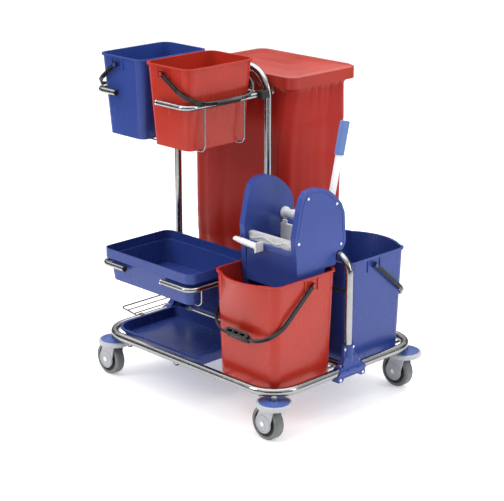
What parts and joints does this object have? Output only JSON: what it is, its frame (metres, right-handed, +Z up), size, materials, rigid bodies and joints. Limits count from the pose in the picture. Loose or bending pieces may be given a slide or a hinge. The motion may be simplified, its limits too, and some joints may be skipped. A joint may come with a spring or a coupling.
{
  "type": "housekeeping cart",
  "caption": "Tubular housekeeping cart on swivel casters with mop buckets, side-press wringer, lidded bag, tray and small lift-out buckets.",
  "frame": {"origin": "centre of the bounding box's footprint, on the floor", "axes": "+X from the bag end to the mop-bucket end, +Y to the back, where the bag is, +Z up"},
  "size_m": [0.8545, 0.6508, 0.998],
  "materials": {
    "chrome": "polished",
    "steel": "satin",
    "blue_plastic": "gloss",
    "light_blue_plastic": "gloss",
    "red_plastic": "gloss",
    "black_plastic": "gloss",
    "white_plastic": "satin",
    "pale_grey_plastic": "satin",
    "black_matte": "matte",
    "grey_rubber": "matte",
    "grey_tyre": "matte",
    "bag_film": "satin"
  },
  "bodies": {
    "frame": {"base_ring": "chrome", "base_bars": "chrome", "bottom_shelf": "blue_plastic", "bag_tub": "blue_plastic", "bracket_left": "blue_plastic", "bracket_right": "blue_plastic", "bracket_screws": "steel", "main_arch": "chrome", "bucket_hoop": "chrome", "hoop_crossbar": "black_matte", "upper_holder": "chrome", "tray_holder": "chrome", "holder_caps": "black_plastic", "holder_clamps": "black_matte", "clamp_bolts": "steel", "bag_frame": "chrome", "caster_stems": "chrome", "buffer_discs": "blue_plastic", "buffer_rims": "grey_rubber", "bag": "bag_film", "lid_hinge_pin": "steel"},
    "caster_front_left": {"fork_front_left": "pale_grey_plastic", "axle_front_left": "steel"},
    "wheel_front_left": {"hub_front_left": "black_matte", "tyre_front_left": "grey_tyre"},
    "caster_front_right": {"fork_front_right": "pale_grey_plastic", "axle_front_right": "steel"},
    "wheel_front_right": {"hub_front_right": "black_matte", "tyre_front_right": "grey_tyre"},
    "caster_rear_left": {"fork_rear_left": "pale_grey_plastic", "axle_rear_left": "steel"},
    "wheel_rear_left": {"hub_rear_left": "black_matte", "tyre_rear_left": "grey_tyre"},
    "caster_rear_right": {"fork_rear_right": "pale_grey_plastic", "axle_rear_right": "steel"},
    "wheel_rear_right": {"hub_rear_right": "black_matte", "tyre_rear_right": "grey_tyre"},
    "bag_lid": {"lid": "red_plastic"},
    "rack": {"wire_rack": "chrome"},
    "tray_box": {"tray": "blue_plastic"},
    "small_blue": {"upper_blue_bucket": "blue_plastic"},
    "small_red": {"upper_red_bucket": "red_plastic"},
    "small_blue_handle": {"upper_blue_bail": "black_plastic"},
    "small_red_handle": {"upper_red_bail": "black_plastic"},
    "mop_red": {"lower_red_bucket": "red_plastic"},
    "mop_blue": {"lower_blue_bucket": "blue_plastic"},
    "mop_red_handle": {"lower_red_bail": "black_plastic"},
    "mop_blue_handle": {"lower_blue_bail": "black_plastic"},
    "wringer": {"wringer_cheek_left": "blue_plastic", "wringer_cheek_right": "blue_plastic", "wringer_covers": "blue_plastic", "wringer_screws": "steel", "wringer_basin": "blue_plastic", "wringer_jaw_fixed": "white_plastic", "wringer_latch": "white_plastic", "wringer_feet": "black_matte"},
    "wringer_jaw": {"wringer_jaw_moving": "white_plastic"},
    "wringer_lever": {"lever_shaft": "white_plastic", "lever_arm": "white_plastic", "lever_grip": "light_blue_plastic"}
  },
  "joints": [
    {"name": "swivel_front_left", "type": "hinge", "parent": "frame", "child": "caster_front_left", "pos_m": [-0.303, -0.275, 0.104], "axis": [0, 0, 1], "continuous": true},
    {"name": "roll_front_left", "type": "hinge", "parent": "caster_front_left", "child": "wheel_front_left", "pos_m": [-0.327, -0.275, 0.05], "axis": [0, 1, 0], "continuous": true},
    {"name": "swivel_front_right", "type": "hinge", "parent": "frame", "child": "caster_front_right", "pos_m": [0.377, -0.275, 0.104], "axis": [0, 0, 1], "continuous": true},
    {"name": "roll_front_right", "type": "hinge", "parent": "caster_front_right", "child": "wheel_front_right", "pos_m": [0.353, -0.275, 0.05], "axis": [0, 1, 0], "continuous": true},
    {"name": "swivel_rear_left", "type": "hinge", "parent": "frame", "child": "caster_rear_left", "pos_m": [-0.303, 0.275, 0.104], "axis": [0, 0, 1], "continuous": true},
    {"name": "roll_rear_left", "type": "hinge", "parent": "caster_rear_left", "child": "wheel_rear_left", "pos_m": [-0.327, 0.275, 0.05], "axis": [0, 1, 0], "continuous": true},
    {"name": "swivel_rear_right", "type": "hinge", "parent": "frame", "child": "caster_rear_right", "pos_m": [0.377, 0.275, 0.104], "axis": [0, 0, 1], "continuous": true},
    {"name": "roll_rear_right", "type": "hinge", "parent": "caster_rear_right", "child": "wheel_rear_right", "pos_m": [0.353, 0.275, 0.05], "axis": [0, 1, 0], "continuous": true},
    {"name": "lid_hinge", "type": "hinge", "parent": "frame", "child": "bag_lid", "pos_m": [-0.053, 0.308, 0.902], "axis": [-1, 0, 0], "range_deg": [0, 105]},
    {"name": "rack_fold", "type": "hinge", "parent": "frame", "child": "rack", "pos_m": [-0.3285, 0, 0.145], "axis": [0, 1, 0], "range_deg": [0, 60]},
    {"name": "tray_lift", "type": "slide", "parent": "frame", "child": "tray_box", "axis": [0, 0, 1], "range_m": [0, 0.3]},
    {"name": "small_blue_lift", "type": "slide", "parent": "frame", "child": "small_blue", "axis": [0, 0, 1], "range_m": [0, 0.2]},
    {"name": "small_red_lift", "type": "slide", "parent": "frame", "child": "small_red", "axis": [0, 0, 1], "range_m": [0, 0.2]},
    {"name": "mop_red_lift", "type": "slide", "parent": "frame", "child": "mop_red", "axis": [0, 0, 1], "range_m": [0, 0.2]},
    {"name": "mop_blue_lift", "type": "slide", "parent": "frame", "child": "mop_blue", "axis": [0, 0, 1], "range_m": [0, 0.05]},
    {"name": "wringer_lift", "type": "slide", "parent": "mop_red", "child": "wringer", "axis": [0, 0, 1], "range_m": [0, 0.2]},
    {"name": "small_blue_bail", "type": "hinge", "parent": "small_blue", "child": "small_blue_handle", "pos_m": [-0.228, -0.174, 0.975], "axis": [0, 1, 0], "range_deg": [0, 126]},
    {"name": "small_red_bail", "type": "hinge", "parent": "small_red", "child": "small_red_handle", "pos_m": [-0.031, -0.174, 0.975], "axis": [0, -1, 0], "range_deg": [0, 121]},
    {"name": "mop_red_bail", "type": "hinge", "parent": "mop_red", "child": "mop_red_handle", "pos_m": [0.254, -0.13, 0.42], "axis": [-1, 0, 0], "range_deg": [0, 100]},
    {"name": "mop_blue_bail", "type": "hinge", "parent": "mop_blue", "child": "mop_blue_handle", "pos_m": [0.254, 0.13, 0.42], "axis": [1, 0, 0], "range_deg": [0, 129]},
    {"name": "lever_swing", "type": "hinge", "parent": "wringer", "child": "wringer_lever", "pos_m": [0.249, -0.017, 0.561], "axis": [1, 0, 0], "range_deg": [0, 78]},
    {"name": "jaw_press", "type": "slide", "parent": "wringer", "child": "wringer_jaw", "axis": [0, -1, 0], "range_m": [0, 0.075]}
  ],
  "couplings": [
    {"joint": "jaw_press", "follows": "lever_swing", "m_per_rad": 0.055}
  ]
}
